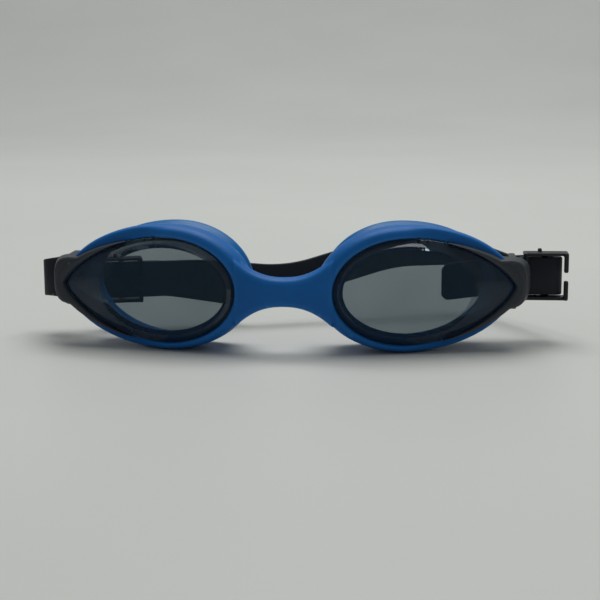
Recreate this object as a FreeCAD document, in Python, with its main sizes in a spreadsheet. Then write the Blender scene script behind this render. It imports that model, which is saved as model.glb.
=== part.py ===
import FreeCAD, Part
import math
import os

# Swim goggles standing on the bottoms of their two eye cups.
# Origin: middle of the back of the nose bridge. +X is the right eye cup, -Y is the front, +Z is up.

os.makedirs("parts", exist_ok=True)
doc = FreeCAD.newDocument("swim_goggles")
Vector = FreeCAD.Vector

# Driving dimensions in millimetres and degrees.
DIMENSIONS = {
    "cup_centre_x": 39.5,
    "cup_face_y": -2.0,
    "wrap_angle": 10.0,
    "rest_height": -20.0,
    "lens_top_power": 1.6,
    "lens_low_power": 1.45,
    "rim_top_power": 1.15,
    "rim_low_power": 1.05,
    "wing_top_power": 1.25,
    "wing_low_power": 1.25,
    "flare_top_power": 0.9,
    "flare_low_power": 1.0,
    "lens_nose": 23.9,
    "lens_tip": 34.9,
    "lens_top": 17.0,
    "lens_low": -17.4,
    "lens_tip_rise": 1.3,
    "lens_face_half_width": 21.75,
    "lens_face_half_height": 14.65,
    "lens_bevel_depth": 2.4,
    "lens_edge_thickness": 1.8,
    "lens_wall": 1.9,
    "frame_nose": 28.8,
    "frame_tip": 36.0,
    "frame_top": 21.0,
    "frame_low": -20.2,
    "frame_front": 1.4,
    "frame_back": 9.0,
    "frame_ledge": 1.6,
    "wing_tip": 37.6,
    "wing_back_tip": 41.3,
    "wing_top": 16.6,
    "wing_low": -17.2,
    "wing_front": 0.9,
    "wing_plate": 2.0,
    "wing_back": 8.5,
    "lobe_half_width": 8.3,
    "lobe_half_height": 7.9,
    "lobe_centre_z": 1.8,
    "lobe_power": 0.6,
    "seal_front_nose": 27.4,
    "seal_front_tip": 32.5,
    "seal_front_top": 19.6,
    "seal_front_low": -19.4,
    "seal_waist": 14.0,
    "seal_back": 18.5,
    "seal_back_nose": 25.8,
    "seal_back_tip": 30.5,
    "seal_back_top": 21.0,
    "seal_back_low": -20.3,
    "seal_wall": 1.8,
    "bridge_depth": 7.0,
    "bridge_mid_height": 9.4,
    "bridge_end_height": 15.0,
    "bridge_end_x": 14.5,
    "bar_x": 72.9,
    "bar_y": 20.5,
    "bar_z": 1.3,
    "bar_radius": 1.0,
    "arm_gap": 14.8,
    "arm_thickness": 1.1,
    "arm_width": 2.4,
    "arm_start_y": 9.0,
    "strap_width": 12.4,
    "strap_thickness": 1.3,
    "strap_ply_gap": 0.15,
    "strap_loop_radius": 3.1,
    "band_turn_x": -74.0,
    "band_turn_back": 8.2,
    "band_nose_x": -4.0,
    "band_nose_back": 27.5,
    "band_level": -2.4,
    "tail_left_drop_x": -46.0,
    "tail_left_end_x": -19.0,
    "tail_left_end_z": -7.6,
    "clip_length": 14.6,
    "clip_height": 15.8,
    "clip_rail": 1.1,
    "clip_rail_depth": 5.2,
    "clip_bar_depth": 1.75,
    "clip_hook_width": 1.5,
    "clip_hook_split": 2.6,
    "clip_centre_radius": 0.95,
    "clip_clearance": 0.15,
    "clip_left_x": -60.5,
    "clip_right_x": 84.0,
    "clip_right_z": 2.2,
}


def make_sheet():
    """The spreadsheet that holds every driving dimension under its own name."""
    sheet = doc.addObject("Spreadsheet::Sheet", "dims")
    for row, (name, value) in enumerate(DIMENSIONS.items(), start=1):
        sheet.set(f"A{row}", name)
        sheet.set(f"B{row}", str(value))
        sheet.setAlias(f"B{row}", name)
    doc.recompute()
    return sheet


sheet = make_sheet()


def size(name):
    return float(sheet.get(name))


def bind(thing, **expressions):
    """Binds properties to sheet cells; a double underscore in a name stands for a dot."""
    for name, expression in expressions.items():
        thing.setExpression(name.replace("__", "."), expression)
    return thing


def feature(name, shape):
    thing = doc.addObject("Part::Feature", name)
    thing.Shape = shape
    return thing


def boolean(kind, name, base, tool):
    thing = doc.addObject(f"Part::{kind}", name)
    thing.Base = base
    thing.Tool = tool
    return thing


def fuse(name, shapes):
    thing = doc.addObject("Part::MultiFuse", name)
    thing.Shapes = shapes
    return thing


def mirror(name, source):
    """The left piece, as the right piece seen in the symmetry plane."""
    thing = doc.addObject("Part::Mirroring", name)
    thing.Source = source
    thing.Normal = Vector(1, 0, 0)
    return thing


def block(name, length, width, height, x, y, z):
    thing = doc.addObject("Part::Box", name)
    return bind(
        thing,
        Length=length,
        Width=width,
        Height=height,
        Placement__Base__x=x,
        Placement__Base__y=y,
        Placement__Base__z=z,
    )


# ---- cup outlines: closed curves in the cup's own frame, nose side at -x, depth along +y

OUTLINE_POINTS = 24


def cup_outline(name, nose, tip, top, low, rise, depth, kind="rim"):
    """An oval on the nose side that narrows towards the outer tip by the powers of its kind."""
    top_power = size(f"{kind}_top_power")
    low_power = size(f"{kind}_low_power")
    middle = (top + low) / 2
    half = (top - low) / 2
    points = []
    for step in range(OUTLINE_POINTS):
        turn = 2 * math.pi * step / OUTLINE_POINTS
        across, up = math.cos(turn), math.sin(turn)
        power = 1.0
        if across > 0:
            power = top_power if up > 0 else low_power
        x = across * (tip if across > 0 else nose)
        z = middle + rise * max(across, 0) ** 2 + half * math.copysign(abs(up) ** power, up)
        points.append(Vector(x, 0, z))
    curve = Part.BSplineCurve()
    curve.interpolate(Points=points, PeriodicFlag=True)
    outline = feature(name, Part.Wire([curve.toShape()]))
    return bind(outline, Placement__Base__y=depth)


def loft(name, sections, ruled=True):
    thing = doc.addObject("Part::Loft", name)
    thing.Sections = sections
    thing.Solid = True
    thing.Ruled = ruled
    return thing


def plate(name, outline, depth):
    """A flat plate behind an outline."""
    thing = doc.addObject("Part::Extrusion", name)
    thing.Base = outline
    thing.DirMode = "Custom"
    thing.Dir = Vector(0, 1, 0)
    thing.Solid = True
    return bind(thing, LengthFwd=depth)


def place_on_cup(thing):
    """Turns a cup-frame solid by the wrap angle and sets it at the right eye."""
    thing.Placement = FreeCAD.Placement(
        Vector(size("cup_centre_x"), size("cup_face_y"), 0),
        FreeCAD.Rotation(Vector(0, 0, 1), size("wrap_angle")),
    )
    return bind(
        thing,
        Placement__Base__x="dims.cup_centre_x",
        Placement__Base__y="dims.cup_face_y",
        Placement__Rotation__Angle="dims.wrap_angle",
    )


def lens_outline(name, inset, depth):
    return cup_outline(
        name,
        size("lens_nose") - inset,
        size("lens_tip") - 1.6 * inset,
        size("lens_top") - inset,
        size("lens_low") + inset,
        size("lens_tip_rise"),
        depth,
        kind="lens",
    )


def ellipse_outline(name, inset, depth):
    """The raised face of the lens, with as many points as the lens outline."""
    points = []
    for step in range(OUTLINE_POINTS):
        turn = 2 * math.pi * step / OUTLINE_POINTS
        x = (size("lens_face_half_width") - inset) * math.cos(turn)
        z = (size("lens_face_half_height") - inset) * math.sin(turn)
        points.append(Vector(x, 0, z))
    curve = Part.BSplineCurve()
    curve.interpolate(Points=points, PeriodicFlag=True)
    outline = feature(name, Part.Wire([curve.toShape()]))
    return bind(outline, Placement__Base__y=depth)


# ---- lens: a flat edge plate and a bevelled cap, hollowed from behind


def make_lens():
    edge_front = "dims.lens_bevel_depth"
    edge_back = "dims.lens_bevel_depth + dims.lens_edge_thickness"
    edge = plate("lens_edge", lens_outline("lens_edge_outline", 0, edge_front), "dims.lens_edge_thickness")
    cap = loft(
        "lens_cap",
        [lens_outline("lens_cap_foot", 0, edge_front), ellipse_outline("lens_cap_face", 0, "0")],
    )
    wall = size("lens_wall")
    hollow = loft(
        "lens_hollow",
        [
            lens_outline("lens_hollow_foot", wall, edge_back + " + 0.01"),
            ellipse_outline("lens_hollow_face", wall / 2, "dims.lens_wall"),
        ],
    )
    solid = fuse("lens_solid", [edge, cap])
    return place_on_cup(boolean("Cut", "lens_right", solid, hollow))


# ---- side wing: a ring segment round the lens's outer end, and the strap bar on two arms


def wing_outline(name, tip, depth):
    return cup_outline(
        name,
        size("lens_nose") - 1,
        tip,
        size("wing_top"),
        size("wing_low"),
        size("lens_tip_rise"),
        depth,
        kind="wing",
    )


def frame_outline(name, depth):
    return cup_outline(
        name, size("frame_nose"), size("frame_tip"), size("frame_top"), size("frame_low"), 1.0, depth
    )


def lobe_outline(name, tip, depth):
    """The blunt, squarish outer end of the wing."""
    half_width, half_height = size("lobe_half_width"), size("lobe_half_height")
    points = []
    for step in range(OUTLINE_POINTS):
        turn = 2 * math.pi * step / OUTLINE_POINTS
        across, up = math.cos(turn), math.sin(turn)
        x = tip - half_width + half_width * math.copysign(abs(across) ** size("lobe_power"), across)
        z = size("lobe_centre_z") + half_height * math.copysign(abs(up) ** size("lobe_power"), up)
        points.append(Vector(x, 0, z))
    curve = Part.BSplineCurve()
    curve.interpolate(Points=points, PeriodicFlag=True)
    outline = feature(name, Part.Wire([curve.toShape()]))
    return bind(outline, Placement__Base__y=depth)


def make_wing_shell():
    """The wing without its arms, in the cup frame."""
    front = wing_outline("wing_front_outline", size("wing_tip"), "dims.wing_front")
    back = wing_outline("wing_back_outline", size("wing_back_tip"), "dims.wing_back")
    sweep = loft("wing_sweep", [front, back])
    lobe_front = lobe_outline("wing_lobe_front", size("wing_tip") + 0.7, "dims.wing_front")
    lobe_back = lobe_outline("wing_lobe_back", size("wing_back_tip"), "dims.wing_back")
    body = fuse("wing_body", [sweep, loft("wing_lobe", [lobe_front, lobe_back])])
    lens_hole = plate("wing_lens_hole", lens_outline("wing_hole_outline", 0, "0"), "dims.wing_back + 1")
    frame_seat = plate(
        "wing_frame_seat",
        frame_outline("wing_seat_outline", "dims.wing_front + dims.wing_plate"),
        "dims.wing_back",
    )
    nose_side = block("wing_nose_side", "60", "30", "60", "-56", "-5", "-30")
    openings = fuse("wing_openings", [lens_hole, frame_seat, nose_side])
    return place_on_cup(boolean("Cut", "wing_shell", body, openings))


def make_wing():
    """The wing shell with the upright strap bar held behind its tip."""
    arm_length = "dims.bar_y + dims.arm_width / 2 - dims.arm_start_y"
    arm_x = "dims.bar_x - dims.arm_width / 2"
    upper = block(
        "wing_upper_arm",
        "dims.arm_width",
        arm_length,
        "dims.arm_thickness",
        arm_x,
        "dims.arm_start_y",
        "dims.bar_z + dims.arm_gap / 2",
    )
    lower = block(
        "wing_lower_arm",
        "dims.arm_width",
        arm_length,
        "dims.arm_thickness",
        arm_x,
        "dims.arm_start_y",
        "dims.bar_z - dims.arm_gap / 2 - dims.arm_thickness",
    )
    bar = doc.addObject("Part::Cylinder", "wing_strap_bar")
    bind(
        bar,
        Radius="dims.bar_radius",
        Height="dims.arm_gap + dims.arm_thickness",
        Placement__Base__x="dims.bar_x",
        Placement__Base__y="dims.bar_y",
        Placement__Base__z="dims.bar_z - (dims.arm_gap + dims.arm_thickness) / 2",
    )
    return fuse("side_wing_right", [make_wing_shell(), upper, lower, bar])


# ---- frame: two cup rims joined by the nose bridge


def make_rim():
    ring = plate("rim_body", frame_outline("rim_outline", "dims.frame_front"), "dims.frame_back - dims.frame_front")
    ledge = size("frame_ledge")
    sight = plate("rim_sight", lens_outline("rim_sight_outline", ledge, "0"), "dims.frame_back + 1")
    seat = plate(
        "rim_lens_seat",
        lens_outline("rim_seat_outline", 0, "0"),
        "dims.lens_bevel_depth + dims.lens_edge_thickness",
    )
    return place_on_cup(boolean("Cut", "rim_right", ring, fuse("rim_openings", [sight, seat])))


def make_bridge():
    """A rounded bar, waisted at the middle, that runs into both rims."""
    sections = []
    for place, height in ((-1, "bridge_end_height"), (0, "bridge_mid_height"), (1, "bridge_end_height")):
        half_depth = size("bridge_depth") / 2
        half_height = size(height) / 2
        centre = Vector(place * size("bridge_end_x"), -half_depth, 0)
        along = Vector(0, 0, 1) if half_height > half_depth else Vector(0, 1, 0)
        ellipse = Part.Ellipse(
            centre + along * max(half_height, half_depth),
            centre + Vector(0, half_depth, 0),
            centre,
        )
        sections.append(feature(f"bridge_section_{place + 1}", Part.Wire([ellipse.toShape()])))
    return loft("nose_bridge", sections, ruled=False)


def make_floor_block(name):
    """All the space below the plane that the goggles stand on."""
    return block(name, "200", "80", "20", "-100", "-30", "dims.rest_height - 20")


def make_frame(wing_right, wing_left):
    """The rims and the bridge, cut back where the wings sit and flat where the cups stand."""
    rim = make_rim()
    whole = fuse("frame_whole", [rim, mirror("rim_left", rim), make_bridge()])
    sight = place_on_cup(
        plate("frame_sight", lens_outline("frame_sight_outline", size("frame_ledge"), "-6"), "dims.frame_back + 8")
    )
    seat = place_on_cup(
        plate(
            "frame_lens_seat",
            lens_outline("frame_seat_outline", 0, "-6"),
            "6 + dims.lens_bevel_depth + dims.lens_edge_thickness",
        )
    )
    cutters = [sight, mirror("frame_sight_left", sight), seat, mirror("frame_seat_left", seat)]
    cutters += [wing_right, wing_left, make_floor_block("frame_floor")]
    return boolean("Cut", "frame", whole, fuse("frame_cutters", cutters))


# ---- face seal: a soft cup wall that flares to the edge against the face


def seal_skin(name, inset, front, back):
    """The seal's outer or inner skin, waisted between the frame and the face."""
    narrow, flared = 1.2, size("seal_waist")
    start = cup_outline(
        name + "_start",
        size("seal_front_nose") - inset,
        size("seal_front_tip") - inset,
        size("seal_front_top") - inset,
        size("seal_front_low") + inset,
        1.0,
        front,
    )
    waist = cup_outline(
        name + "_waist",
        size("seal_front_nose") - inset - narrow,
        size("seal_front_tip") - inset - narrow,
        size("seal_front_top") - inset,
        size("seal_front_low") + inset,
        0.6,
        str(flared),
    )
    end = cup_outline(
        name + "_end",
        size("seal_back_nose") - inset,
        size("seal_back_tip") - inset,
        size("seal_back_top") - inset,
        size("seal_back_low") + inset,
        0.3,
        back,
        kind="flare",
    )
    return loft(name, [start, waist, end], ruled=False)


def make_seal():
    wall = size("seal_wall")
    outer = seal_skin("seal_outer", 0, "dims.frame_back", "dims.seal_back")
    inner = seal_skin("seal_inner", wall, "dims.frame_back - 0.5", "dims.seal_back + 0.5")
    return place_on_cup(boolean("Cut", "seal_ring", outer, inner))


# ---- adjuster clip: two rails, a round centre bar behind the strap and split hooks in front of it


def clip_piece(name):
    """One clip in its own frame: strap along x through the origin, front at -y."""
    rail_z = "dims.clip_height / 2 - dims.clip_rail"
    stack = "(dims.strap_thickness + dims.strap_ply_gap / 2 + dims.clip_clearance)"
    hook_y = f"-{stack} - dims.clip_bar_depth"
    hook_height = "dims.clip_height / 2 - dims.clip_hook_split / 2"
    shapes = []
    for side, z in (("upper", rail_z), ("lower", "-dims.clip_height / 2")):
        shapes.append(
            block(
                f"{name}_{side}_rail",
                "dims.clip_length",
                "dims.clip_rail_depth",
                "dims.clip_rail",
                "-dims.clip_length / 2",
                "-dims.clip_rail_depth / 2",
                z,
            )
        )
    hook_places = {
        "inner": "-dims.clip_length / 2",
        "outer": "dims.clip_length / 2 - dims.clip_hook_width",
    }
    for end, x in hook_places.items():
        for side, z in (("upper", "dims.clip_hook_split / 2"), ("lower", "-dims.clip_height / 2")):
            shapes.append(
                block(
                    f"{name}_{end}_{side}_hook",
                    "dims.clip_hook_width",
                    "dims.clip_bar_depth",
                    hook_height,
                    x,
                    hook_y,
                    z,
                )
            )
    centre = doc.addObject("Part::Cylinder", f"{name}_centre_bar")
    bind(
        centre,
        Radius="dims.clip_centre_radius",
        Height="dims.clip_height - dims.clip_rail",
        Placement__Base__y=f"{stack} + dims.clip_centre_radius",
        Placement__Base__z="-(dims.clip_height - dims.clip_rail) / 2",
    )
    shapes.append(centre)
    shapes.append(
        block(f"{name}_nub", "1.3", "dims.clip_bar_depth", "1.2", "-2.6", "-0.9", "dims.clip_height / 2 - 0.01")
    )
    return fuse(name, shapes)


# ---- strap: one band, doubled at each end round a strap bar


def rounded_path(corners):
    """A smooth wire through (x, y, z, radius) corners, with an arc in place of each inner corner."""
    spots = [Vector(x, y, z) for x, y, z, _ in corners]
    edges = []
    start = spots[0]
    for before, spot, after, corner in zip(spots, spots[1:], spots[2:], corners[1:]):
        back = (before - spot).normalize()
        ahead = (after - spot).normalize()
        half_angle = back.getAngle(ahead) / 2
        reach = corner[3] / math.tan(half_angle)
        middle = spot + (back + ahead).normalize() * (corner[3] / math.sin(half_angle) - corner[3])
        first = spot + back * reach
        last = spot + ahead * reach
        if (first - start).Length > 1e-4:
            edges.append(Part.LineSegment(start, first).toShape())
        edges.append(Part.Arc(first, middle, last).toShape())
        start = last
    edges.append(Part.LineSegment(start, spots[-1]).toShape())
    return Part.Wire(edges)


def offset_corners(corners, distance):
    """Moves a path sideways in plan, to the left of travel, and keeps its arcs concentric."""
    moved = []
    for index, (x, y, z, radius) in enumerate(corners):
        before = corners[max(index - 1, 0)]
        after = corners[min(index + 1, len(corners) - 1)]
        inward = Vector(x - before[0], y - before[1], 0)
        outward = Vector(after[0] - x, after[1] - y, 0)
        inward = inward.normalize() if inward.Length else outward.normalize()
        outward = outward.normalize() if outward.Length else inward
        bisector = (inward + outward).normalize()
        side = Vector(-bisector.y, bisector.x, 0)
        shift = distance / inward.dot(bisector)
        turning = inward.x * outward.y - inward.y * outward.x
        new_radius = radius - math.copysign(distance, turning) if radius else 0
        moved.append((x + side.x * shift, y + side.y * shift, z, new_radius))
    return moved


def bar_loop(side, height):
    """The slack loop round a strap bar, from its front ply to its rear ply."""
    radius = size("strap_loop_radius")
    x, y = side * (size("bar_x") + 0.3), size("bar_y")
    inner = side * (size("bar_x") - radius)
    return [
        (x + side * 0.9, y - radius, height, 1.5),
        (inner, y - radius, height, radius - 0.01),
        (inner, y + radius, height, radius - 0.01),
        (x + side * 0.9, y + radius, height, 1.5),
    ]


def on_band(x):
    """The plan point at x on the straight line the left band takes behind the cup."""
    turn_y = size("bar_y") + size("band_turn_back")
    rise = size("band_nose_back") - size("band_turn_back")
    run = size("band_nose_x") - size("band_turn_x")
    return Vector(x, turn_y + (x - size("band_turn_x")) * rise / run, size("band_level"))


def strap_corners():
    """The strap's centre line from the left tail, through the free run, to the right tail."""
    ply = (size("strap_thickness") + size("strap_ply_gap")) / 2
    bar_y, bar_z, level = size("bar_y"), size("bar_z"), size("band_level")
    behind_y = bar_y + size("band_turn_back")
    # Left end: the doubled band turns back behind the cup and runs towards the nose.
    turn_left = [
        (-77.4, bar_y, bar_z, 3.0),
        (-84.2, bar_y, 0.4, 4.0),
        (-84.2, behind_y, level + 0.8, 4.0),
        (size("band_turn_x"), behind_y, level, 20.0),
    ]
    drop = on_band(size("tail_left_drop_x"))
    tail_end = on_band(size("tail_left_end_x"))
    tail_end.z = size("tail_left_end_z")
    tail_left = offset_corners(turn_left + [(*drop, 60.0), (*tail_end, 0)], ply)
    main_left = offset_corners(turn_left + [(*on_band(-34.0), 80.0)], -ply)
    # Free run: behind the nose, out to the far bend and back to the right-hand clip.
    clip_x, clip_z = size("clip_right_x"), size("clip_right_z")
    last_x = clip_x + 4.9
    free_run = [
        (size("band_nose_x"), bar_y + size("band_nose_back") - ply, -5.6, 50.0),
        (34.0, 64.2, 4.2, 60.0),
        (56.0, 73.0, 4.6, 6.0),
        (66.0, 64.5, 0.6, 30.0),
        (76.0, 51.0, -2.4, 30.0),
        (last_x, 29.0, 1.4, 15.0),
        (last_x, bar_y - ply, clip_z, 2.2),
    ]
    right_front = (76.0, bar_y - ply, clip_z, 1.6)
    right_rear = (76.0, bar_y + ply, clip_z, 1.6)
    centre_y = bar_y + 2 * ply + size("clip_centre_radius")
    # The right tail folds round the clip's centre bar and points inward behind the cup.
    tail_right = [
        right_rear,
        (clip_x + 2.0, bar_y + ply, clip_z, 1.7),
        (clip_x + 2.0, centre_y + 2.2, clip_z, 1.7),
        (76.0, centre_y + 2.2, clip_z, 60.0),
        (50.2, centre_y + 2.6, -1.2, 0),
    ]
    corners = list(reversed(tail_left))
    corners += list(reversed(bar_loop(-1, bar_z)))
    corners += main_left
    corners += free_run
    corners += [right_front]
    corners += bar_loop(1, bar_z + 0.3)
    corners += tail_right
    return corners


def make_strap():
    """The strap's upright rectangular section swept along its centre line."""
    spine = rounded_path(strap_corners())
    half_width, half_thickness = size("strap_width") / 2, size("strap_thickness") / 2
    start = spine.Vertexes[0].Point
    heading = spine.Edges[0].tangentAt(spine.Edges[0].FirstParameter)
    heading.z = 0
    side = Vector(-heading.y, heading.x, 0).normalize()
    up = Vector(0, 0, 1)
    ring = []
    for across, along in ((-1, -1), (1, -1), (1, 1), (-1, 1)):
        ring.append(start + side * (across * half_thickness) + up * (along * half_width))
    profile = Part.makePolygon(ring + ring[:1])
    sweep = Part.BRepOffsetAPI.MakePipeShell(spine)
    sweep.setBiNormalMode(up)
    sweep.add(profile, False, False)
    sweep.build()
    sweep.makeSolid()
    return feature("head_strap", sweep.shape())


# ---- the assembly

lens_right = make_lens()
lens_left = mirror("lens_left", lens_right)
wing_right = make_wing()
wing_left = mirror("side_wing_left", wing_right)
frame = make_frame(wing_right, wing_left)
seal_ring = make_seal()
seal_ring_left = mirror("seal_ring_left", seal_ring)
face_seal_right = boolean("Cut", "face_seal_right", seal_ring, make_floor_block("seal_floor_right"))
face_seal_left = boolean("Cut", "face_seal_left", seal_ring_left, make_floor_block("seal_floor_left"))
clip_right = clip_piece("clip_right")
clip_right.Placement = FreeCAD.Placement(
    Vector(size("clip_right_x"), size("bar_y"), size("clip_right_z")),
    FreeCAD.Rotation(),
)
clip_left = clip_piece("clip_left")
band_heading = on_band(size("band_nose_x")) - on_band(size("band_turn_x"))
clip_left.Placement = FreeCAD.Placement(
    on_band(size("clip_left_x")),
    FreeCAD.Rotation(Vector(1, 0, 0), band_heading),
)
strap = make_strap()

NODES = [
    frame,
    face_seal_right,
    face_seal_left,
    lens_right,
    lens_left,
    wing_right,
    wing_left,
    clip_right,
    clip_left,
    strap,
]

doc.recompute()
for thing in doc.Objects:
    if "Invalid" in thing.State or "Error" in thing.State:
        raise RuntimeError(f"{thing.Name} failed: {thing.State}")
for node in NODES:
    if node.Shape.isNull() or not node.Shape.isValid():
        raise RuntimeError(f"{node.Name} has no valid shape")
    node.Label = node.Name
    node.Shape.exportStep(f"parts/{node.Name}.step")
    print(node.Name, len(node.Shape.Solids), round(node.Shape.Volume, 1), node.Shape.BoundBox)
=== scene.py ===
import bmesh
import bpy
import math
from mathutils import Matrix, Quaternion, Vector

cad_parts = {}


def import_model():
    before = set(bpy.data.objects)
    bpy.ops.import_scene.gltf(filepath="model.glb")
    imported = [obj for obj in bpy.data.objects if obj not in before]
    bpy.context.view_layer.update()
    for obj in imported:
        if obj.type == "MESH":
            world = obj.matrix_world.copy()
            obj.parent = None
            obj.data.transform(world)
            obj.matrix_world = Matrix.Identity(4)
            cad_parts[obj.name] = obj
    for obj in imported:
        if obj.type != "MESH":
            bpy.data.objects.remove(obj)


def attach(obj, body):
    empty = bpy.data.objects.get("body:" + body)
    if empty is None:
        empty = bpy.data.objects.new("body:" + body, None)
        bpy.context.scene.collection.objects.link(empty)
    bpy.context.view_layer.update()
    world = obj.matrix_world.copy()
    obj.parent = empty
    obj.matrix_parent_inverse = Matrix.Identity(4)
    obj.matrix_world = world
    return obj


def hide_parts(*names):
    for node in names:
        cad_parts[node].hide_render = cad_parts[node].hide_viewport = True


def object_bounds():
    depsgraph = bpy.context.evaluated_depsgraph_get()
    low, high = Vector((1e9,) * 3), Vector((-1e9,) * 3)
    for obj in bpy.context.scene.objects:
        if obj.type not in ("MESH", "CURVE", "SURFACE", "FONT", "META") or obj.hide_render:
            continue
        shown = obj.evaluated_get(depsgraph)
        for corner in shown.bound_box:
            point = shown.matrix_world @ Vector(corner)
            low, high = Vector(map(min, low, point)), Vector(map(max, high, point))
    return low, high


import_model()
cad_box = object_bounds()

MM = 0.001
SIDES = {"right": 1, "left": -1}

# ---- the cup frame: u runs out to the temple, v up and w back from the lens face, in millimetres

WRAP = math.radians(10)
CUP_X, FACE_Y = 39.5, -2.0
RING_STEPS = 96
ROD_SIDES = 20


def cup_point(side, u, v, w):
    """A point of one cup in the row frame, in millimetres."""
    x = CUP_X + u * math.cos(WRAP) - w * math.sin(WRAP)
    y = FACE_Y + u * math.sin(WRAP) + w * math.cos(WRAP)
    return Vector((side * x, y, v))


class Outline:
    """An oval on the nose side that narrows to the outer tip, where its middle rises."""

    def __init__(self, nose, tip, top, low, rise, top_power, low_power):
        self.nose, self.tip, self.rise = nose, tip, rise
        self.middle, self.half = (top + low) / 2, (top - low) / 2
        self.top_power, self.low_power = top_power, low_power

    def at(self, turn, inset=0.0):
        across, up = math.cos(turn), math.sin(turn)
        power = 1.0
        if across > 0:
            power = self.top_power if up > 0 else self.low_power
        reach = (self.tip if across > 0 else self.nose) - inset
        height = math.copysign(abs(up) ** power, up) * (self.half - inset)
        middle = self.middle + self.rise * max(across, 0) ** 2
        return Vector((across * reach, middle + height))


# nose, tip, top, low, rise, top_power, low_power
LENS = Outline(23.9, 34.9, 17.0, -17.4, 1.3, 1.6, 1.45)
LENS_FACE = Outline(21.75, 21.75, 14.65, -14.65, 0, 1, 1)
RIM = Outline(28.8, 36.0, 21.0, -20.0, 1.0, 1.15, 1.05)
WING = Outline(22.9, 37.6, 16.6, -17.2, 1.3, 1.25, 1.25)
WING_BACK = Outline(22.9, 41.3, 16.6, -17.2, 1.3, 1.25, 1.25)
SEAL_FRONT = Outline(27.4, 32.5, 19.6, -19.2, 1.0, 1.15, 1.05)
SEAL_BACK = Outline(25.8, 30.5, 21.0, -19.9, 0.3, 0.9, 1.0)


def between(a, b, share):
    return a + (b - a) * share


def turns():
    """The angles of the points round one cup."""
    return [2 * math.pi * (step + 0.5) / RING_STEPS for step in range(RING_STEPS)]


# ---- mesh helpers


def new_object(name, points, faces):
    """A smooth-shaded object from points in millimetres."""
    mesh = bpy.data.meshes.new(name)
    mesh.from_pydata([tuple(p * MM) for p in points], [], faces)
    builder = bmesh.new()
    builder.from_mesh(mesh)
    bmesh.ops.recalc_face_normals(builder, faces=builder.faces)
    builder.to_mesh(mesh)
    builder.free()
    piece = bpy.data.objects.new(name, mesh)
    bpy.context.scene.collection.objects.link(piece)
    for polygon in mesh.polygons:
        polygon.use_smooth = True
    return piece


def skin(sections, around=True, caps=False):
    """Points and faces of a surface through closed sections of equal point counts."""
    count, points, faces = len(sections[0]), [], []
    for section in sections:
        points.extend(section)
    last = len(sections) if around else len(sections) - 1
    for a in range(last):
        b = (a + 1) % len(sections)
        for i in range(count):
            j = (i + 1) % count
            faces.append((a * count + i, a * count + j, b * count + j, b * count + i))
    if caps:
        faces.append(tuple(range(count)))
        faces.append(tuple(len(points) - count + i for i in reversed(range(count))))
    return points, faces


def settle(piece):
    """Replaces a piece's mesh by its shape with every modifier applied."""
    bpy.context.view_layer.update()
    graph = bpy.context.evaluated_depsgraph_get()
    final = bpy.data.meshes.new_from_object(piece.evaluated_get(graph))
    piece.modifiers.clear()
    piece.data = final
    return piece


def mould(name, parts, voxel, relax):
    """Joins closed shapes into one moulded skin whose inner corners are softly filleted."""
    builder = bmesh.new()
    for part in parts:
        builder.from_mesh(part.data)
        bpy.data.objects.remove(part)
    mesh = bpy.data.meshes.new(name)
    builder.to_mesh(mesh)
    builder.free()
    piece = bpy.data.objects.new(name, mesh)
    bpy.context.scene.collection.objects.link(piece)
    remesh = piece.modifiers.new("skin", "REMESH")
    remesh.mode = "VOXEL"
    remesh.voxel_size = voxel * MM
    remesh.use_smooth_shade = True
    soften = piece.modifiers.new("soften", "SMOOTH")
    soften.factor = 0.5
    soften.iterations = relax
    return settle(piece)


def subdivide(piece):
    """Rounds a piece by one level of subdivision."""
    modifier = piece.modifiers.new("round", "SUBSURF")
    modifier.levels = 1
    modifier.render_levels = 1
    return settle(piece)


def rounded_box(low, high, radius):
    """A box with rounded edges, between two corners in millimetres."""
    low, high = Vector(low), Vector(high)
    builder = bmesh.new()
    bmesh.ops.create_cube(builder, size=1)
    size = high - low
    for vertex in builder.verts:
        vertex.co = Vector([c * s for c, s in zip(vertex.co, size)]) + (low + high) / 2
    bmesh.ops.bevel(
        builder, geom=builder.edges[:], offset=radius, segments=3, profile=0.5, affect="EDGES"
    )
    points = [v.co.copy() for v in builder.verts]
    builder.verts.index_update()
    faces = [tuple(v.index for v in f.verts) for f in builder.faces]
    builder.free()
    return new_object("box", points, faces)


def rod(x, y, low, high, radius):
    """An upright round bar."""
    angles = [2 * math.pi * i / ROD_SIDES for i in range(ROD_SIDES)]
    sections = [
        [Vector((x + radius * math.cos(a), y + radius * math.sin(a), z)) for a in angles]
        for z in (low, high)
    ]
    return new_object("rod", *skin(sections, around=False, caps=True))


# ---- material helpers

# Places of the colour sockets on a mix node.
MIX_FACTOR, MIX_FIRST, MIX_SECOND, MIX_RESULT = 0, 6, 7, 2


def blank_material(name):
    material = bpy.data.materials.new(name)
    material.use_nodes = True
    tree = material.node_tree
    shader = tree.nodes["Principled BSDF"]
    return material, tree, shader


def noise(tree, scale, detail=4.0):
    """Noise over the object's own coordinates; scale is in features per metre."""
    place = tree.nodes.new("ShaderNodeTexCoord")
    texture = tree.nodes.new("ShaderNodeTexNoise")
    texture.inputs["Scale"].default_value = scale
    texture.inputs["Detail"].default_value = detail
    tree.links.new(place.outputs["Object"], texture.inputs["Vector"])
    return texture.outputs["Fac"]


def grey(level):
    return (level, level, level)


def ramp(tree, value, stops):
    """Turns a value into a colour by (place, colour) stops."""
    node = tree.nodes.new("ShaderNodeValToRGB")
    elements = node.color_ramp.elements
    while len(elements) < len(stops):
        elements.new(0.5)
    for element, (place, colour) in zip(elements, stops):
        element.position = place
        element.color = (*colour, 1)
    tree.links.new(value, node.inputs["Fac"])
    return node.outputs["Color"]


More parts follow.
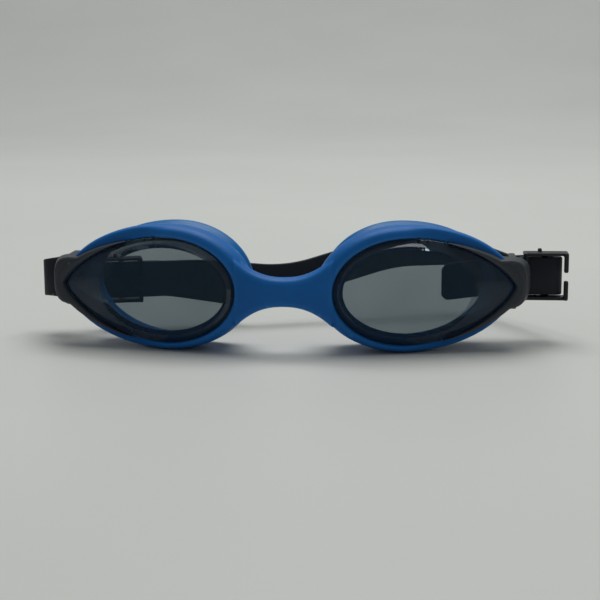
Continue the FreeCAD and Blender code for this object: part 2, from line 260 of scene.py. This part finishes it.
def mix(tree, factor, first, second):
    """Mixes two colours, each a socket or a plain colour, by a socket's value."""
    node = tree.nodes.new("ShaderNodeMix")
    node.data_type = "RGBA"
    tree.links.new(factor, node.inputs[MIX_FACTOR])
    for socket, value in ((node.inputs[MIX_FIRST], first), (node.inputs[MIX_SECOND], second)):
        if isinstance(value, bpy.types.NodeSocket):
            tree.links.new(value, socket)
        else:
            socket.default_value = (*value, 1)
    return node.outputs[MIX_RESULT]


def edge_wear(tree):
    """One along convex edges and nought elsewhere."""
    geometry = tree.nodes.new("ShaderNodeNewGeometry")
    return ramp(tree, geometry.outputs["Pointiness"], [(0.5, grey(0)), (0.56, grey(1))])


def bump(tree, shader, height, strength, distance):
    node = tree.nodes.new("ShaderNodeBump")
    node.inputs["Strength"].default_value = strength
    node.inputs["Distance"].default_value = distance
    tree.links.new(height, node.inputs["Height"])
    tree.links.new(node.outputs["Normal"], shader.inputs["Normal"])


def rubber_material(name, base, deep, worn, rough, grain=2600.0, shine=0.2):
    """Moulded rubber or plastic: mottled colour, dulled patches, fine grain and paler edges."""
    material, tree, shader = blank_material(name)
    mottled = ramp(tree, noise(tree, 90.0), [(0.3, deep), (0.7, base)])
    worn_edges = mix(tree, edge_wear(tree), mottled, worn)
    dust = ramp(tree, noise(tree, 900.0, 2.0), [(0.66, grey(0)), (0.8, grey(0.35))])
    tree.links.new(mix(tree, dust, worn_edges, worn), shader.inputs["Base Color"])
    dull = ramp(tree, noise(tree, 160.0), [(0.3, grey(rough[0])), (0.7, grey(rough[1]))])
    tree.links.new(dull, shader.inputs["Roughness"])
    shader.inputs["Specular IOR Level"].default_value = shine
    bump(tree, shader, noise(tree, grain, 3.0), strength=0.18, distance=0.0001)
    return material


def math_node(tree, operation, first, second):
    """A math node fed by two values, each a socket or a number."""
    node = tree.nodes.new("ShaderNodeMath")
    node.operation = operation
    node.use_clamp = operation == "SUBTRACT"
    for socket, value in zip(node.inputs, (first, second)):
        if isinstance(value, bpy.types.NodeSocket):
            tree.links.new(value, socket)
        else:
            socket.default_value = value
    return node.outputs[0]


def blend_shaders(tree, share, first, second):
    node = tree.nodes.new("ShaderNodeMixShader")
    tree.links.new(share, node.inputs["Fac"])
    tree.links.new(first.outputs[0], node.inputs[1])
    tree.links.new(second.outputs[0], node.inputs[2])
    return node


CLEAR_FILM, THICK_FILM = (0.445, 0.485, 0.5), (0.475, 0.515, 0.53)
# Painted shade for the lens bevel, much darker than the film of its face.
PAINTED_BEVEL_SHADE = (0.1, 0.125, 0.15)
HAZE_BLUE = (0.25, 0.42, 0.62, 1)
SKIN_SHINE = (0.9, 0.95, 1.0, 1)
PLASTIC_IOR = 1.5
HEAD_ON_REFLECTION = 0.045


def lens_material():
    """Smoke-tinted clear plastic under a glossy skin, with painted shade darkening its bevel
    round the face.
    """
    material, tree, shader = blank_material("smoke_lens")
    tree.nodes.remove(shader)
    film = ramp(tree, noise(tree, 60.0, 2.0), [(0.3, CLEAR_FILM), (0.7, THICK_FILM)])
    depth = tree.nodes.new("ShaderNodeAttribute")
    depth.attribute_name = "bevel"
    bevel = depth.outputs["Fac"]
    tint = tree.nodes.new("ShaderNodeBsdfTransparent")
    # The bevel attribute mixes painted shade into the film's tint, so the bevel reads dark.
    tree.links.new(mix(tree, bevel, film, PAINTED_BEVEL_SHADE), tint.inputs["Color"])
    haze = tree.nodes.new("ShaderNodeBsdfDiffuse")
    haze.inputs["Color"].default_value = HAZE_BLUE
    dust = ramp(tree, noise(tree, 420.0, 5.0), [(0.35, grey(0.06)), (0.8, grey(0.08))])
    film_and_haze = blend_shaders(tree, dust, tint, haze)
    gloss = tree.nodes.new("ShaderNodeBsdfGlossy")
    gloss.inputs["Color"].default_value = SKIN_SHINE
    smears = ramp(tree, noise(tree, 140.0), [(0.35, grey(0.03)), (0.75, grey(0.12))])
    tree.links.new(smears, gloss.inputs["Roughness"])
    fresnel = tree.nodes.new("ShaderNodeFresnel")
    fresnel.inputs["IOR"].default_value = PLASTIC_IOR
    # The flat face only shines at grazing angles; the bevel shines at every angle.
    grazing = math_node(tree, "SUBTRACT", fresnel.outputs["Fac"], HEAD_ON_REFLECTION)
    glint = math_node(tree, "MULTIPLY", fresnel.outputs["Fac"], bevel)
    share = math_node(tree, "ADD", grazing, glint)
    both = blend_shaders(tree, share, film_and_haze, gloss)
    output = tree.nodes["Material Output"]
    tree.links.new(both.outputs[0], output.inputs["Surface"])
    return material


MATERIALS = {
    "lens_tint": lens_material(),
    "frame_silicone": rubber_material(
        "frame_silicone",
        base=(0.004, 0.125, 0.43),
        deep=(0.003, 0.11, 0.38),
        worn=(0.02, 0.18, 0.52),
        rough=(0.42, 0.55),
    ),
    "seal_silicone": rubber_material(
        "seal_silicone",
        base=(0.002, 0.14, 0.4),
        deep=(0.002, 0.12, 0.35),
        worn=(0.01, 0.19, 0.48),
        rough=(0.3, 0.42),
    ),
    "wing_plastic": rubber_material(
        "wing_plastic",
        base=(0.042, 0.047, 0.056),
        deep=(0.033, 0.038, 0.047),
        worn=(0.07, 0.077, 0.088),
        rough=(0.36, 0.5),
        grain=5200.0,
    ),
    "clip_plastic": rubber_material(
        "clip_plastic",
        base=(0.014, 0.016, 0.023),
        deep=(0.01, 0.012, 0.017),
        worn=(0.034, 0.037, 0.046),
        rough=(0.25, 0.4),
        grain=4200.0,
    ),
    "strap_silicone": rubber_material(
        "strap_silicone",
        base=(0.011, 0.014, 0.02),
        deep=(0.008, 0.01, 0.015),
        worn=(0.022, 0.026, 0.034),
        rough=(0.4, 0.55),
        grain=3400.0,
        shine=0.12,
    ),
}


def dress(piece, slot, node, body):
    """Gives a piece its material, lets it stand for its CAD node, and ties it to its body."""
    piece.data.materials.clear()
    piece.data.materials.append(MATERIALS[slot])
    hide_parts(node)
    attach(piece, body)
    return piece


# ---- soft front frame: two rims and the nose bridge

# Section of a rim: share of the way from the lens border to the outer edge, and depth.
RIM_SECTION = (
    (0.0, 1.9),
    (0.05, 1.05),
    (0.16, 0.75),
    (0.42, 0.85),
    (0.68, 1.35),
    (0.88, 2.5),
    (0.98, 4.0),
    (1.0, 5.8),
    (0.98, 7.8),
    (0.9, 9.0),
    (-0.36, 9.0),
    (-0.36, 4.6),
    (-0.02, 4.5),
)


# The wing reaches this far round the lens to each side, and the rim sinks to this depth under it.
WING_SPREAD = math.radians(94)
UNDER_WING = 3.1
WING_FADE, RIM_FADE = 3.2, 4.5


def wing_grip(turn, steepness):
    """One where the wing is at full width, easing to nought at its two ends."""
    turn = (turn + math.pi) % (2 * math.pi) - math.pi
    fade = min(1.0, max(0.0, 1 - abs(turn) / WING_SPREAD) * steepness)
    return fade * fade * (3 - 2 * fade)


def rim(side):
    sections = []
    for turn in turns():
        border, edge = LENS.at(turn), RIM.at(turn)
        sunk = wing_grip(turn, RIM_FADE)
        section = []
        for share, depth in RIM_SECTION:
            spot = between(border, edge, share)
            depth = between(depth, max(depth, UNDER_WING), sunk)
            section.append(cup_point(side, spot.x, spot.y, depth))
        sections.append(section)
    return new_object("rim", *skin(sections))


BRIDGE_REACH, BRIDGE_STEPS, BRIDGE_FLARE = 15.5, 24, 2.3


def bridge():
    """The nose bridge: waisted at the middle, bevelled along its upper front edge."""
    sections = []
    for step in range(BRIDGE_STEPS + 1):
        x = -BRIDGE_REACH + 2 * BRIDGE_REACH * step / BRIDGE_STEPS
        share = abs(x) / BRIDGE_REACH
        top = 4.9 + 6.2 * share**BRIDGE_FLARE
        low = -4.6 - 6.6 * share**BRIDGE_FLARE
        front = -6.6 + 0.9 * share**2
        back = -0.2 + 1.8 * share**2
        section = [
            (front + 0.1, low + 1.4),
            (front, 0.35 * top),
            (front + 0.15, top - 2.2),
            (front + 0.8, top - 0.9),
            (front + 2.6, top - 0.15),
            (front + 3.8, top),
            (back - 1.2, top - 0.5),
            (back, 0.5 * top),
            (back, 0.5 * low),
            (back - 1.2, low + 0.5),
            (front + 2.4, low),
            (front + 0.8, low + 0.4),
        ]
        sections.append([Vector((x, y, z)) for y, z in section])
    return new_object("bridge", *skin(sections, around=False, caps=True))


frame_piece = mould("soft_frame", [rim(1), rim(-1), bridge()], voxel=0.42, relax=6)
dress(frame_piece, "frame_silicone", "frame", "eyepiece")

# ---- face seals

# Section of a seal: share of the way from its front to its back outline, inset, and depth.
SEAL_SECTION = (
    (0.0, 0.0, 8.2),
    (0.0, 0.4, 9.6),
    (0.25, 1.0, 11.6),
    (0.5, 1.3, 13.4),
    (0.8, 1.0, 15.2),
    (1.0, 0.35, 16.8),
    (1.0, 0.0, 17.8),
    (1.0, 0.25, 18.4),
    (1.0, 0.9, 18.7),
    (1.0, 2.0, 18.4),
    (0.9, 3.2, 17.2),
    (0.5, 3.3, 14.0),
    (0.2, 2.6, 11.0),
    (0.0, 2.0, 8.2),
)


def seal(name, side):
    sections = []
    for turn in turns():
        section = []
        for share, inset, depth in SEAL_SECTION:
            spot = between(SEAL_FRONT.at(turn, inset), SEAL_BACK.at(turn, inset), share)
            section.append(cup_point(side, spot.x, spot.y, depth))
        sections.append(section)
    return subdivide(new_object(name, *skin(sections)))


for label, side in SIDES.items():
    dress(seal(f"soft_seal_{label}", side), "seal_silicone", f"face_seal_{label}", "eyepiece")

# ---- lenses

# Rings of a lens from the edge of its face outwards and round to its back: share of the way from
# the lens border to the raised face, inset, and depth.
LENS_RINGS = (
    (1.0, 0.6, 0.0),
    (1.0, 0.15, 0.02),
    (1.0, 0.0, 0.1),
    (0.93, 0.0, 0.34),
    (0.2, 0.0, 1.95),
    (0.1, 0.0, 2.1),
    (0.0, 0.1, 2.35),
    (0.0, 0.0, 2.8),
    (0.0, 0.0, 3.9),
    (0.0, 0.1, 4.2),
    (0.0, 1.9, 4.2),
    (0.12, 2.0, 4.0),
    (0.93, 1.2, 2.1),
    (1.0, 1.2, 1.92),
    (1.0, 1.9, 1.9),
)


# Painted light: how much the bevel's painted shade is eased towards the outer tip and towards the
# top.
SHADE_EASING_OUTWARD, SHADE_EASING_UPWARD = 0.5, 0.25


def lens(name, side):
    """A lens whose bevel attribute, the strength of painted shade on its bevel, is nought on its
    face, and lower outwards and upwards.
    """
    columns = turns()
    rings, shades = [], []
    for share, inset, depth in LENS_RINGS:
        ring = []
        for turn in columns:
            spot = between(LENS.at(turn, inset), LENS_FACE.at(turn, inset), share)
            ring.append(cup_point(side, spot.x, spot.y, depth))
            shade_easing = SHADE_EASING_OUTWARD * max(0.0, math.cos(turn))
            shade_easing += SHADE_EASING_UPWARD * max(0.0, math.sin(turn))
            shades.append(0.0 if share == 1.0 else 1.0 - shade_easing)
        rings.append(ring)
    piece = new_object(name, *skin(rings, around=False, caps=True))
    for polygon in piece.data.polygons:
        polygon.use_smooth = len(polygon.vertices) == 4
    shade = piece.data.attributes.new("bevel", "FLOAT", "POINT")
    for spot, value in zip(shade.data, shades):
        spot.value = value
    return piece


for label, side in SIDES.items():
    dress(lens(f"tinted_lens_{label}", side), "lens_tint", f"lens_{label}", "eyepiece")

# ---- side wings with their strap bars

WING_STEPS, WING_END_WIDTH = 120, 0.12
LOBE_CENTRE_Z, LOBE_HALF_WIDTH, LOBE_HALF_HEIGHT = 1.8, 8.3, 7.9
LOBE_FRONT_TIP, LOBE_BACK_TIP = 38.3, 41.3
LOBE_POWER, LOBE_SEARCH_STEP = 3.3, 0.1
LENS_HEART = Vector((24.0, 1.0))


def wing_edge(outline, turn, lobe_tip):
    """The wing's outer edge: its outline, or the blunt lobe where that reaches further."""
    spot = outline.at(turn)
    heading = (spot - LENS_HEART).normalized()
    while True:
        across = abs(spot.x - lobe_tip + LOBE_HALF_WIDTH) / LOBE_HALF_WIDTH
        up = abs(spot.y - LOBE_CENTRE_Z) / LOBE_HALF_HEIGHT
        if across**LOBE_POWER + up**LOBE_POWER >= 1:
            return spot
        spot = spot + heading * LOBE_SEARCH_STEP


def wing_band(side):
    """The ring segment round the lens's outer end; it narrows to nothing at both ends."""
    sections = []
    for step in range(WING_STEPS + 1):
        turn = -WING_SPREAD + 2 * WING_SPREAD * step / WING_STEPS
        grip = wing_grip(turn, WING_FADE)
        width = WING_END_WIDTH + (1 - WING_END_WIDTH) * grip
        border = LENS.at(turn)
        front = between(border, wing_edge(WING, turn, LOBE_FRONT_TIP), width)
        back = between(border, wing_edge(WING_BACK, turn, LOBE_BACK_TIP), width)
        tail = 3.2 + 5.3 * grip * max(0.0, math.cos(turn)) ** 0.6
        section = [
            (border, 2.3),
            (between(border, front, 0.1), 0.9),
            (between(border, front, 0.3), 0.55),
            (between(border, front, 0.72), 0.6),
            (front, 1.5 - 0.275 * grip),
            (between(front, back, 0.55), between(1.5, tail, 0.5)),
            (back, tail),
            (between(border, back, 0.35), tail + 0.2),
            (between(border, back, 0.2), 3.4),
        ]
        sections.append([cup_point(side, spot.x, spot.y, depth) for spot, depth in section])
    return new_object("band", *skin(sections, around=False, caps=True))


BAR_X, BAR_Y, BAR_Z, BAR_RADIUS, BAR_ROOT = 72.9, 20.5, 1.3, 1.0, 0.5
ARM_GAP, ARM_THICKNESS, ARM_HALF_WIDTH, ARM_START_Y, ARM_ROUND = 14.8, 0.8, 1.2, 9.0, 0.3


def wing(name, side):
    """The band round the lens tip, and an upright strap bar held between two arms."""
    parts = [wing_band(side)]
    left, right = sorted((side * (BAR_X - ARM_HALF_WIDTH), side * (BAR_X + ARM_HALF_WIDTH)))
    for up in (1, -1):
        inner = BAR_Z + up * ARM_GAP / 2
        low, high = sorted((inner, inner + up * ARM_THICKNESS))
        near, far = (left, ARM_START_Y, low), (right, BAR_Y + ARM_HALF_WIDTH, high)
        parts.append(rounded_box(near, far, ARM_ROUND))
    low, high = BAR_Z - ARM_GAP / 2 - BAR_ROOT, BAR_Z + ARM_GAP / 2 + BAR_ROOT
    parts.append(rod(side * BAR_X, BAR_Y, low, high, BAR_RADIUS))
    return mould(name, parts, voxel=0.3, relax=3)


for label, side in SIDES.items():
    dress(wing(f"wing_{label}", side), "wing_plastic", f"side_wing_{label}", "eyepiece")

# ---- head strap

STRAP_WIDTH, STRAP_THICKNESS, PLY_GAP = 12.4, 1.3, 0.15
PLY = (STRAP_THICKNESS + PLY_GAP) / 2
LOOP_RADIUS, LOOP_MOUTH_X = 3.1, 76.0
CLIP_X, CLIP_Z, CLIP_CENTRE_RADIUS = 84.0, 2.2, 0.95
# The left band runs straight in plan between these two points, at this height.
BAND_TURN, BAND_NOSE, BAND_LEVEL = (-74.0, BAR_Y + 8.2), (-4.0, BAR_Y + 27.5), -2.4
SAMPLE = 0.8
TAIL_NARROWING, TAIL_TAPER = 0.3, 2.4
LIP, CORNER = 0.22, 0.34


def offset_corners(corners, distance):
    """Moves a path sideways in plan, to the left of travel, and keeps its arcs concentric."""
    moved = []
    for index, (x, y, z, radius) in enumerate(corners):
        before = corners[max(index - 1, 0)]
        after = corners[min(index + 1, len(corners) - 1)]
        inward = Vector((x - before[0], y - before[1]))
        outward = Vector((after[0] - x, after[1] - y))
        inward = inward.normalized() if inward.length else outward.normalized()
        outward = outward.normalized() if outward.length else inward
        bisector = (inward + outward).normalized()
        shift = distance / inward.dot(bisector)
        turning = inward.x * outward.y - inward.y * outward.x
        new_radius = radius - math.copysign(distance, turning) if radius else 0
        moved.append((x - bisector.y * shift, y + bisector.x * shift, z, new_radius))
    return moved


def bar_loop(side, height):
    """The slack loop round a strap bar, from its front ply to its rear ply."""
    outer, inner = side * (BAR_X + 1.2), side * (BAR_X - LOOP_RADIUS)
    return [
        (outer, BAR_Y - LOOP_RADIUS, height, 1.5),
        (inner, BAR_Y - LOOP_RADIUS, height, LOOP_RADIUS - 0.01),
        (inner, BAR_Y + LOOP_RADIUS, height, LOOP_RADIUS - 0.01),
        (outer, BAR_Y + LOOP_RADIUS, height, 1.5),
    ]


def on_band(x):
    """The point at x on the straight line the left band takes behind the cup."""
    slope = (BAND_NOSE[1] - BAND_TURN[1]) / (BAND_NOSE[0] - BAND_TURN[0])
    return (x, BAND_TURN[1] + (x - BAND_TURN[0]) * slope, BAND_LEVEL)


def strap_corners():
    """Corners of the strap's middle line, left tail to right tail: x, y, z and arc radius."""
    turn_left = [
        (-77.4, BAR_Y, BAR_Z, 3.0),
        (-84.2, BAR_Y, 0.4, 4.0),
        (-84.2, BAND_TURN[1], BAND_LEVEL + 0.8, 4.0),
        (*BAND_TURN, BAND_LEVEL, 20.0),
    ]
    tail_end = (*on_band(-19.0)[:2], -7.6, 0)
    tail_left = offset_corners(turn_left + [(*on_band(-46.0), 60.0), tail_end], PLY)
    main_left = offset_corners(turn_left + [(*on_band(-34.0), 80.0)], -PLY)
    last_x = CLIP_X + 4.9
    free_run = [
        (BAND_NOSE[0], BAND_NOSE[1] - PLY, -5.6, 50.0),
        (34.0, 64.2, 4.2, 60.0),
        (56.0, 73.0, 3.6, 6.0),
        (66.0, 64.5, -0.4, 30.0),
        (76.0, 51.0, -2.4, 30.0),
        (last_x, 29.0, 1.4, 15.0),
        (last_x, BAR_Y - PLY, CLIP_Z, 2.2),
    ]
    centre_y = BAR_Y + 2 * PLY + CLIP_CENTRE_RADIUS
    tail_right = [
        (LOOP_MOUTH_X, BAR_Y + PLY, CLIP_Z, 1.6),
        (CLIP_X + 2.0, BAR_Y + PLY, CLIP_Z, 1.7),
        (CLIP_X + 2.0, centre_y + 2.2, CLIP_Z, 1.7),
        (LOOP_MOUTH_X, centre_y + 2.2, CLIP_Z, 60.0),
        (50.2, centre_y + 2.6, -1.2, 0),
    ]
    return [
        *reversed(tail_left),
        *reversed(bar_loop(-1, BAR_Z)),
        *main_left,
        *free_run,
        (LOOP_MOUTH_X, BAR_Y - PLY, CLIP_Z, 1.6),
        *bar_loop(1, BAR_Z + 0.3),
        *tail_right,
    ]


def rounded_path(corners):
    """Evenly spaced points along straight runs and the arcs that round their corners."""
    spots = [Vector(corner[:3]) for corner in corners]
    line = [spots[0]]

    def run_to(goal):
        start = line[-1].copy()
        count = max(1, round((goal - start).length / SAMPLE))
        line.extend(start.lerp(goal, i / count) for i in range(1, count + 1))

    for before, spot, after, corner in zip(spots, spots[1:], spots[2:], corners[1:]):
        back, ahead = (before - spot).normalized(), (after - spot).normalized()
        half_angle = back.angle(ahead) / 2
        radius = corner[3]
        centre = spot + (back + ahead).normalized() * (radius / math.sin(half_angle))
        first = spot + back * (radius / math.tan(half_angle))
        if (first - line[-1]).length > SAMPLE / 4:
            run_to(first)
        arm = first - centre
        sweep = math.pi - 2 * half_angle
        axis = arm.cross(back).normalized()
        count = max(3, round(radius * sweep / SAMPLE))
        for i in range(1, count + 1):
            turned = Quaternion(axis, -sweep * i / count) @ arm
            line.append(centre + turned)
    run_to(spots[-1])
    return line


def strap_section(share_from_end):
    """A thin rectangle with cut corners, across and up, narrowed at the free ends."""
    half_t, half_w = STRAP_THICKNESS / 2, STRAP_WIDTH / 2
    narrow = 1 - TAIL_NARROWING * (1 - share_from_end) ** 2
    outline = [
        (half_t - LIP, half_w),
        (half_t, half_w - CORNER),
        (half_t, CORNER - half_w),
        (half_t - LIP, -half_w),
        (LIP - half_t, -half_w),
        (-half_t, CORNER - half_w),
        (-half_t, half_w - CORNER),
        (LIP - half_t, half_w),
    ]
    return [(across, up * narrow) for across, up in outline]


def strap():
    """The whole strap as one band swept along its path, standing on edge."""
    line = rounded_path(strap_corners())
    total = len(line)
    sections = []
    for index, spot in enumerate(line):
        ahead = line[min(index + 1, total - 1)] - line[max(index - 1, 0)]
        side = Vector((-ahead.y, ahead.x, 0)).normalized()
        from_end = min(index, total - 1 - index) * SAMPLE / TAIL_TAPER
        ring = []
        for across, up in strap_section(min(1.0, from_end)):
            ring.append(spot + side * across + Vector((0, 0, up)))
        sections.append(ring)
    return new_object("silicone_strap", *skin(sections, around=False, caps=True))


dress(strap(), "strap_silicone", "head_strap", "strap")

# ---- adjuster clips

CLIP_LENGTH, CLIP_HEIGHT, CLIP_RAIL, RAIL_DEPTH = 14.6, 15.8, 1.1, 5.2
HOOK_DEPTH, HOOK_WIDTH, HOOK_SPLIT = 1.75, 1.5, 2.6
RAIL_ROUND, HOOK_ROUND, NUB_ROUND = 0.45, 0.5, 0.3
CLIP_CLEARANCE = 0.15
STACK = STRAP_THICKNESS + PLY_GAP / 2 + CLIP_CLEARANCE


def clip(name, turn, place):
    """Two rails, a round centre bar behind the strap, and split hooks in front of it."""
    half_length, half_height = CLIP_LENGTH / 2, CLIP_HEIGHT / 2
    parts = []
    for up in (1, -1):
        rail = sorted((up * (half_height - CLIP_RAIL), up * half_height))
        near = (-half_length, -RAIL_DEPTH / 2, rail[0])
        far = (half_length, RAIL_DEPTH / 2, rail[1])
        parts.append(rounded_box(near, far, RAIL_ROUND))
        hook = sorted((up * HOOK_SPLIT / 2, up * half_height))
        for end in (1, -1):
            reach = sorted((end * half_length, end * (half_length - HOOK_WIDTH)))
            near, far = (reach[0], -STACK - HOOK_DEPTH, hook[0]), (reach[1], -STACK, hook[1])
            parts.append(rounded_box(near, far, HOOK_ROUND))
    centre_y = STACK + CLIP_CENTRE_RADIUS
    parts.append(rod(0, centre_y, -half_height + 0.5, half_height - 0.5, CLIP_CENTRE_RADIUS))
    nub_low, nub_high = (-2.6, -0.9, half_height - 0.6), (-1.3, 0.85, half_height + 1.2)
    parts.append(rounded_box(nub_low, nub_high, NUB_ROUND))
    piece = mould(name, parts, voxel=0.24, relax=2)
    placing = Matrix.Translation(Vector(place) * MM) @ Matrix.Rotation(turn, 4, "Z")
    piece.data.transform(placing)
    return piece


LEFT_CLIP_X = -60.5
LEFT_BAND_TURN = math.atan2(BAND_NOSE[1] - BAND_TURN[1], BAND_NOSE[0] - BAND_TURN[0])
right_clip = clip("adjuster_right", 0, (CLIP_X, BAR_Y, CLIP_Z))
left_clip = clip("adjuster_left", LEFT_BAND_TURN, on_band(LEFT_CLIP_X))
dress(right_clip, "clip_plastic", "clip_right", "right_clip")
dress(left_clip, "clip_plastic", "clip_left", "left_clip")

# ---- floor, light and camera


def stage_material():
    material, tree, shader = blank_material("pale_table")
    stops = [(0.3, (0.56, 0.58, 0.56)), (0.7, (0.6, 0.615, 0.6))]
    colour = ramp(tree, noise(tree, 5.0, 6.0), stops)
    tree.links.new(colour, shader.inputs["Base Color"])
    shader.inputs["Roughness"].default_value = 0.42
    bump(tree, shader, noise(tree, 300.0), strength=0.05, distance=0.0003)
    return material


TABLE_FRONT_Y, BEND_Y, BEND_RADIUS, BEND_STEPS = -1500.0, 900.0, 2600.0, 24
TABLE_HALF_WIDTH = WALL_RISE = 2500.0


def stage():
    """A table top that curves up into a plain backdrop."""
    low = cad_box[0][2] / MM
    profile = [(TABLE_FRONT_Y, low), (BEND_Y, low)]
    for step in range(1, BEND_STEPS + 1):
        angle = math.pi / 2 * step / BEND_STEPS
        y = BEND_Y + BEND_RADIUS * math.sin(angle)
        profile.append((y, low + BEND_RADIUS * (1 - math.cos(angle))))
    profile.append((BEND_Y + BEND_RADIUS, low + WALL_RISE))
    points = [
        Vector((x, y, z)) for y, z in profile for x in (-TABLE_HALF_WIDTH, TABLE_HALF_WIDTH)
    ]
    faces = [(i, i + 1, i + 3, i + 2) for i in range(0, 2 * len(profile) - 2, 2)]
    floor = new_object("table", points, faces)
    floor.data.materials.append(stage_material())


SOFT_WHITE = (1.0, 0.99, 0.96)


def area_light(name, place, target, size, power):
    """A rectangular light at a place, turned to its target."""
    data = bpy.data.lights.new(name, "AREA")
    data.shape = "RECTANGLE"
    data.size, data.size_y = size
    data.energy = power
    data.color = SOFT_WHITE
    light = bpy.data.objects.new(name, data)
    light.location = place
    light.rotation_euler = (Vector(target) - Vector(place)).to_track_quat("-Z", "Y").to_euler()
    bpy.context.scene.collection.objects.link(light)


ELEVATION, AZIMUTH, ROLL = math.radians(10.2), math.radians(6.0), math.radians(-0.5)
DISTANCE, TARGET = 0.43, Vector((0.0, -0.005, 0.0))
# Lens length and picture centre, in pixels of a picture this wide.
PICTURE_WIDTH, FOCAL_PIXELS, CENTRE_SHIFT = 600, 1357.0, (-17.0, -6.6)


def camera():
    """A low view from slightly to the right of the nose, a little rolled."""
    direction = Vector(
        (
            math.sin(AZIMUTH) * math.cos(ELEVATION),
            -math.cos(AZIMUTH) * math.cos(ELEVATION),
            math.sin(ELEVATION),
        )
    )
    data = bpy.data.cameras.new("camera")
    data.sensor_width = 36.0
    data.lens = FOCAL_PIXELS / PICTURE_WIDTH * data.sensor_width
    data.shift_x = -CENTRE_SHIFT[0] / PICTURE_WIDTH
    data.shift_y = CENTRE_SHIFT[1] / PICTURE_WIDTH
    data.clip_start, data.clip_end = 0.01, 20.0
    eye = bpy.data.objects.new("camera", data)
    facing = (-direction).to_track_quat("-Z", "Y")
    eye.rotation_mode = "QUATERNION"
    eye.rotation_quaternion = facing @ Quaternion((0, 0, 1), ROLL)
    eye.location = TARGET + direction * DISTANCE
    bpy.context.scene.collection.objects.link(eye)
    bpy.context.scene.camera = eye


def world():
    """A faint even light from all round, and plain colours in the picture."""
    scene = bpy.context.scene
    scene.world = bpy.data.worlds.new("studio")
    scene.world.use_nodes = True
    background = scene.world.node_tree.nodes["Background"]
    background.inputs["Color"].default_value = (0.93, 0.97, 1.0, 1)
    background.inputs["Strength"].default_value = 0.19
    scene.view_settings.view_transform = "Standard"


stage()
area_light("ceiling", (0.1, 0.3, 1.3), (0, 0, 0), size=(1.1, 0.8), power=13.2)
area_light("backdrop_wash", (0.0, 1.6, 2.4), (0.0, 2.6, 0.0), size=(3.0, 1.2), power=27.0)
camera()
world()
